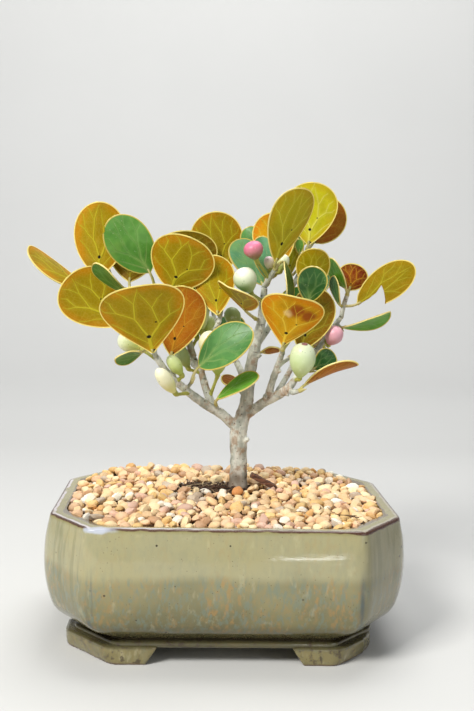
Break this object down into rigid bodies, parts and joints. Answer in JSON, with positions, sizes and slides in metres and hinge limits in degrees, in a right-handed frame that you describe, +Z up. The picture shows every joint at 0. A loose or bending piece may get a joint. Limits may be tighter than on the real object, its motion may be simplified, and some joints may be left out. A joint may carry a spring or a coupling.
{
  "type": "mistletoe fig bonsai",
  "caption": "Small bonsai tree with leathery fan-shaped leaves and round figs, planted under pea gravel in a low oblong glazed pot with cut corners and short feet.",
  "frame": {"origin": "on the ground, under the middle of the pot", "axes": "+Z up along the trunk, X along the pot's length, -Y towards the front that is seen first"},
  "size_m": [0.1769, 0.1242, 0.2003],
  "materials": {
    "celadon_glaze": "gloss",
    "drain_net": "matte",
    "soil": "matte",
    "pea_gravel": "matte",
    "bark_chip": "matte",
    "bark": "matte",
    "leaf_amber": "satin",
    "leaf_green": "satin",
    "leaf_russet": "satin",
    "fig_pale": "satin",
    "fig_dull": "satin",
    "fig_pink": "satin"
  },
  "bodies": {
    "root": {"pot": "celadon_glaze", "drain_net_left": "drain_net", "drain_net_right": "drain_net", "soil": "soil", "gravel": "pea_gravel", "bark_chip": "bark_chip", "trunk": "bark", "spray_left_front": "leaf_amber", "spray_left_inner": "leaf_amber", "spray_upper_left": "leaf_amber", "spray_upper_middle": "leaf_amber", "spray_middle": "leaf_amber", "spray_centre": "leaf_amber", "spray_top_right": "leaf_amber", "spray_right_inner": "leaf_amber", "spray_right": "leaf_amber", "spray_right_front": "leaf_amber", "spray_right_behind": "leaf_amber", "leaf_middle_front": "leaf_amber", "spray_back_left": "leaf_amber", "spray_back_middle": "leaf_amber", "leaf_back_low": "leaf_amber", "spray_back_right": "leaf_amber", "leaf_right_green": "leaf_green", "leaf_right_shade": "leaf_green", "leaf_low_front": "leaf_green", "leaf_fork": "leaf_green", "spray_right_low": "leaf_russet", "leaf_behind_fork": "leaf_russet", "leaf_behind_stem": "leaf_russet", "fig_01": "fig_pale", "fig_02": "fig_pale", "fig_03": "fig_pale", "fig_05": "fig_pale", "fig_06": "fig_pale", "fig_08": "fig_pale", "fig_10": "fig_pale", "fig_12": "fig_pale", "fig_13": "fig_pale", "fig_14": "fig_pale", "fig_17": "fig_pale", "fig_19": "fig_pale", "fig_04": "fig_dull", "fig_07": "fig_dull", "fig_09": "fig_dull", "fig_16": "fig_dull", "fig_18": "fig_dull", "fig_11": "fig_pink", "fig_15": "fig_pink", "fig_20": "fig_pink"}
  },
  "joints": []
}
